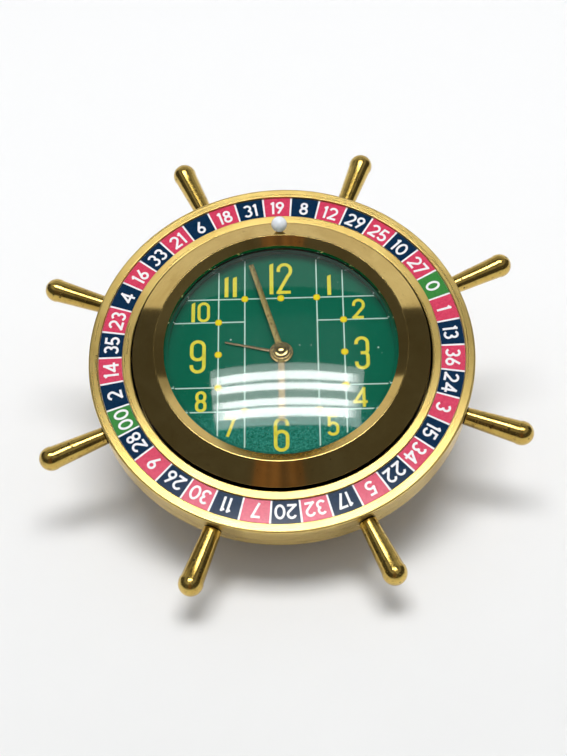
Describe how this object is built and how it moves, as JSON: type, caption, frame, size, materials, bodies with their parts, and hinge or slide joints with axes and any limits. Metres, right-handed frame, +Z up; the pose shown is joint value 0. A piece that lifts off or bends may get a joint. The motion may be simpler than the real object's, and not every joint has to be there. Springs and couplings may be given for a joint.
{
  "type": "alarm clock",
  "caption": "Wind-up alarm clock in a round brass case, set in a turning brass wheel with printed number pockets and turned handles, propped on a folding leg.",
  "frame": {"origin": "centre of the bounding box, on the table", "axes": "+Z up from the table, +X to the 3 o'clock side, +Y away from the viewer towards the side that the leg props; the clock's own axis leans 20 degrees from +Z towards -Y"},
  "size_m": [0.1298, 0.1224, 0.0565],
  "materials": {
    "wheel_brass": "polished, lacquered, slightly worn",
    "case_brass": "polished and lacquered",
    "bezel_brass": "polished, tarnished",
    "handle_brass": "polished with pitted patina",
    "key_brass": "stamped and polished",
    "leg_brass": "stamped sheet, polished",
    "movement_brass": "stamped and brushed",
    "hand_metal": "thin stamped, tarnished",
    "steel": "brushed",
    "spring_steel": "blued",
    "number_print": "printed in red, navy, green and white, glossy",
    "dial_print": "printed green with white lines and yellow numerals, satin",
    "clear_crystal": "clear, domed",
    "ball_white": "white, glossy",
    "ring_black": "matt"
  },
  "bodies": {
    "case": {"case_drum": "case_brass", "back_cover": "case_brass", "bezel": "bezel_brass", "crystal": "clear_crystal", "crystal_ring": "ring_black", "dial": "dial_print", "pointer_ball": "ball_white", "pointer_pin": "case_brass", "wheel_keeper": "steel", "front_plate": "movement_brass", "back_plate": "movement_brass", "pillars": "steel", "pillar_nuts": "steel", "plate_screws": "steel", "leg_bracket": "steel", "leg_pin": "steel", "hairspring": "spring_steel"},
    "wheel": {"wheel_rim": "wheel_brass", "number_ring": "number_print", "handle_1": "handle_brass", "handle_2": "handle_brass", "handle_3": "handle_brass", "handle_4": "handle_brass", "handle_5": "handle_brass", "handle_6": "handle_brass", "handle_7": "handle_brass", "handle_8": "handle_brass", "handle_nuts": "steel"},
    "leg": {"stand_leg": "leg_brass"},
    "minute_set": {"centre_arbor": "steel", "cannon_pinion": "movement_brass", "minute_hand": "hand_metal", "time_set_knob": "key_brass"},
    "motion_wheel": {"minute_wheel": "movement_brass"},
    "hour_set": {"hour_wheel": "movement_brass", "hour_hand": "hand_metal"},
    "alarm_setter": {"alarm_set_arbor": "steel", "alarm_set_knob": "key_brass"},
    "alarm_hand_set": {"alarm_wheel": "movement_brass", "alarm_hand": "hand_metal"},
    "time_barrel_set": {"time_barrel": "movement_brass", "time_mainspring": "spring_steel"},
    "time_winder": {"time_winding_arbor": "steel", "time_key": "key_brass"},
    "time_click_body": {"time_click": "steel"},
    "centre_wheel_body": {"centre_wheel": "movement_brass"},
    "third_wheel_body": {"third_wheel": "movement_brass"},
    "fourth_wheel_body": {"fourth_wheel": "movement_brass"},
    "escape_wheel_body": {"escape_wheel": "movement_brass"},
    "pallet_body": {"pallet_lever": "steel"},
    "balance_body": {"balance_wheel": "movement_brass"},
    "regulator_body": {"regulator": "steel"},
    "alarm_barrel_set": {"alarm_barrel": "movement_brass", "alarm_mainspring": "spring_steel"},
    "alarm_winder": {"alarm_winding_arbor": "steel", "alarm_key": "key_brass"},
    "alarm_click_body": {"alarm_click": "steel"},
    "striking_wheel_body": {"striking_wheel": "movement_brass"},
    "hammer_body": {"hammer": "steel"},
    "stop_button_body": {"stop_button": "key_brass"}
  },
  "joints": [
    {"name": "wheel_spin", "type": "hinge", "parent": "case", "child": "wheel", "pos_m": [0, -0.00157, 0.03656], "axis": [0, -0.342, 0.9397], "continuous": true},
    {"name": "leg_fold", "type": "hinge", "parent": "case", "child": "leg", "pos_m": [0, 0.03525, 0.02017], "axis": [-1, 0, 0], "range_deg": [0, 104]},
    {"name": "hand_set", "type": "hinge", "parent": "case", "child": "minute_set", "pos_m": [0, 0.00048, 0.03092], "axis": [0, -0.342, 0.9397], "continuous": true},
    {"name": "motion_wheel_turn", "type": "hinge", "parent": "case", "child": "motion_wheel", "pos_m": [0, -0.01114, 0.02776], "axis": [0, -0.342, 0.9397], "continuous": true},
    {"name": "hour_turn", "type": "hinge", "parent": "case", "child": "hour_set", "pos_m": [0, -0.00021, 0.0328], "axis": [0, -0.342, 0.9397], "continuous": true},
    {"name": "alarm_set", "type": "hinge", "parent": "case", "child": "alarm_setter", "pos_m": [-0.01131, 0.01008, 0.03761], "axis": [0, -0.342, 0.9397], "continuous": true},
    {"name": "alarm_hand_turn", "type": "hinge", "parent": "case", "child": "alarm_hand_set", "pos_m": [0, -0.00055, 0.03374], "axis": [0, -0.342, 0.9397], "continuous": true},
    {"name": "fourth_turn", "type": "hinge", "parent": "case", "child": "fourth_wheel_body", "pos_m": [0.01498, 0.01583, 0.03013], "axis": [0, -0.342, 0.9397], "continuous": true},
    {"name": "third_turn", "type": "hinge", "parent": "case", "child": "third_wheel_body", "pos_m": [0.00512, 0.01232, 0.03204], "axis": [0, -0.342, 0.9397], "continuous": true},
    {"name": "centre_turn", "type": "hinge", "parent": "case", "child": "centre_wheel_body", "pos_m": [0, 0.00116, 0.02905], "axis": [0, -0.342, 0.9397], "continuous": true},
    {"name": "time_barrel_turn", "type": "hinge", "parent": "case", "child": "time_barrel_set", "pos_m": [-0.01489, -0.00092, 0.01977], "axis": [0, -0.342, 0.9397], "continuous": true},
    {"name": "escape_turn", "type": "hinge", "parent": "case", "child": "escape_wheel_body", "pos_m": [0.01239, 0.02319, 0.03068], "axis": [0, -0.342, 0.9397], "continuous": true},
    {"name": "time_wind", "type": "hinge", "parent": "case", "child": "time_winder", "pos_m": [-0.01489, 0.00011, 0.01695], "axis": [0, -0.342, 0.9397], "continuous": true},
    {"name": "time_click_lift", "type": "hinge", "parent": "case", "child": "time_click_body", "pos_m": [-0.01837, 0.00625, 0.01919], "axis": [0, -0.342, 0.9397], "range_deg": [0, 8]},
    {"name": "pallet_rock", "type": "hinge", "parent": "case", "child": "pallet_body", "pos_m": [0.00619, 0.02387, 0.03199], "axis": [0, -0.342, 0.9397], "range_deg": [-5, 5]},
    {"name": "balance_swing", "type": "hinge", "parent": "case", "child": "balance_body", "pos_m": [-0.00477, 0.02409, 0.0342], "axis": [0, -0.342, 0.9397], "range_deg": [-150, 150], "stiffness_Nm_per_rad": 0.0000075},
    {"name": "regulator_turn", "type": "hinge", "parent": "case", "child": "regulator_body", "pos_m": [-0.00477, 0.02683, 0.02668], "axis": [0, -0.342, 0.9397], "range_deg": [-18, 18]},
    {"name": "striking_turn", "type": "hinge", "parent": "case", "child": "striking_wheel_body", "pos_m": [0.01088, -0.01595, 0.01643], "axis": [0, -0.342, 0.9397], "continuous": true},
    {"name": "alarm_barrel_turn", "type": "hinge", "parent": "case", "child": "alarm_barrel_set", "pos_m": [0.01626, -0.00136, 0.01961], "axis": [0, -0.342, 0.9397], "continuous": true},
    {"name": "alarm_wind", "type": "hinge", "parent": "case", "child": "alarm_winder", "pos_m": [0.01626, -0.00034, 0.01679], "axis": [0, -0.342, 0.9397], "continuous": true},
    {"name": "alarm_click_lift", "type": "hinge", "parent": "case", "child": "alarm_click_body", "pos_m": [0.01974, 0.0058, 0.01903], "axis": [0, -0.342, 0.9397], "range_deg": [-8, 0]},
    {"name": "hammer_rock", "type": "hinge", "parent": "case", "child": "hammer_body", "pos_m": [0.00505, -0.01795, 0.0157], "axis": [0, -0.342, 0.9397], "range_deg": [-10, 10]},
    {"name": "stop_push", "type": "slide", "parent": "case", "child": "stop_button_body", "axis": [0, -0.342, 0.9397], "range_m": [0, 0.0018]}
  ],
  "couplings": [
    {"joint": "motion_wheel_turn", "follows": "hand_set", "ratio": -0.33333},
    {"joint": "hour_turn", "follows": "hand_set", "ratio": 0.083333},
    {"joint": "alarm_hand_turn", "follows": "alarm_set", "ratio": -0.33333},
    {"joint": "third_turn", "follows": "fourth_turn", "ratio": -0.13333},
    {"joint": "centre_turn", "follows": "fourth_turn", "ratio": 0.016667},
    {"joint": "time_barrel_turn", "follows": "fourth_turn", "ratio": -0.0027778},
    {"joint": "escape_turn", "follows": "fourth_turn", "ratio": -8},
    {"joint": "alarm_barrel_turn", "follows": "striking_turn", "ratio": -0.16667}
  ]
}
